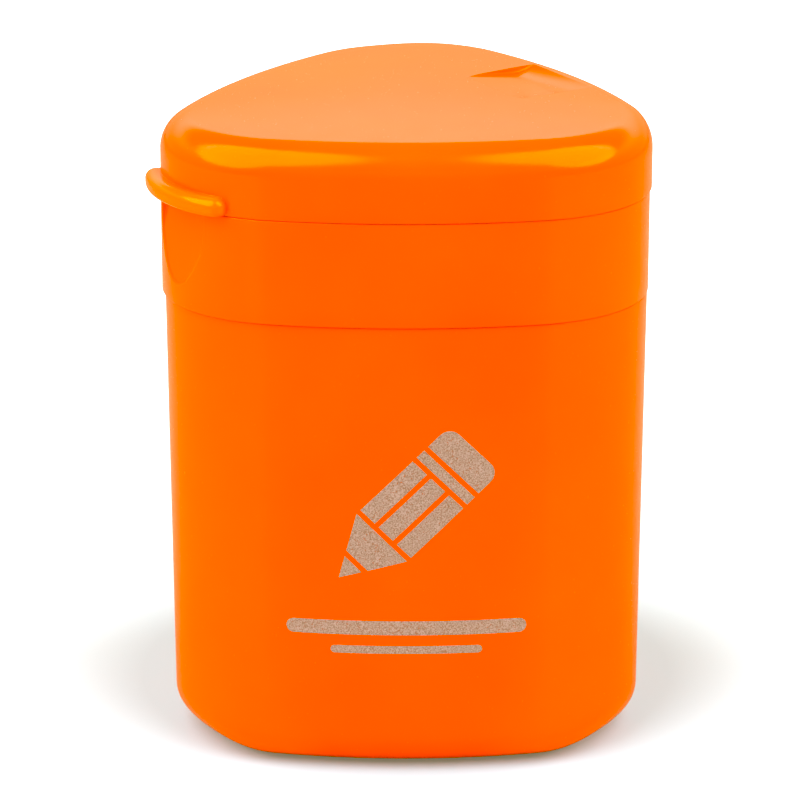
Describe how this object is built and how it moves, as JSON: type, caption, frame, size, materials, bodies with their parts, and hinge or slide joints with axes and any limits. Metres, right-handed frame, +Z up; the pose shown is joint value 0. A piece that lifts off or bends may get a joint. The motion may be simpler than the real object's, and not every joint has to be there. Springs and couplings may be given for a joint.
{
  "type": "tub pencil sharpener",
  "caption": "Flip-top tub pencil sharpener: a rounded triangular plastic container whose lift-off collar holds a metal wedge sharpener under a hinged lid with a thumb tab.",
  "frame": {"origin": "centre of the plan outline, on the surface that the tub stands on", "axes": "+Z up through the lid, -Y out of the flat-looking printed side, +X to the right of it"},
  "size_m": [0.0412, 0.0386, 0.0534],
  "materials": {
    "tub_plastic": "glossy orange moulded plastic",
    "collar_plastic": "glossy orange moulded plastic",
    "lid_plastic": "glossy orange moulded plastic",
    "wedge_metal": "matt cast light metal",
    "blade_steel": "ground steel",
    "screw_metal": "plated brass",
    "print_ink": "thin pale grey pad print"
  },
  "bodies": {
    "tub": {"tub": "tub_plastic"},
    "collar": {"collar": "collar_plastic", "sharpener_body": "wedge_metal", "blade": "blade_steel", "blade_screw": "screw_metal"},
    "lid": {"lid": "lid_plastic"}
  },
  "joints": [
    {"name": "collar_lift", "type": "slide", "parent": "tub", "child": "collar", "axis": [0, 0, 1], "range_m": [0, 0.03]},
    {"name": "lid_hinge", "type": "hinge", "parent": "collar", "child": "lid", "pos_m": [0.01464, 0.00845, 0.0455], "axis": [-0.5, 0.866, 0], "range_deg": [0, 110]}
  ]
}
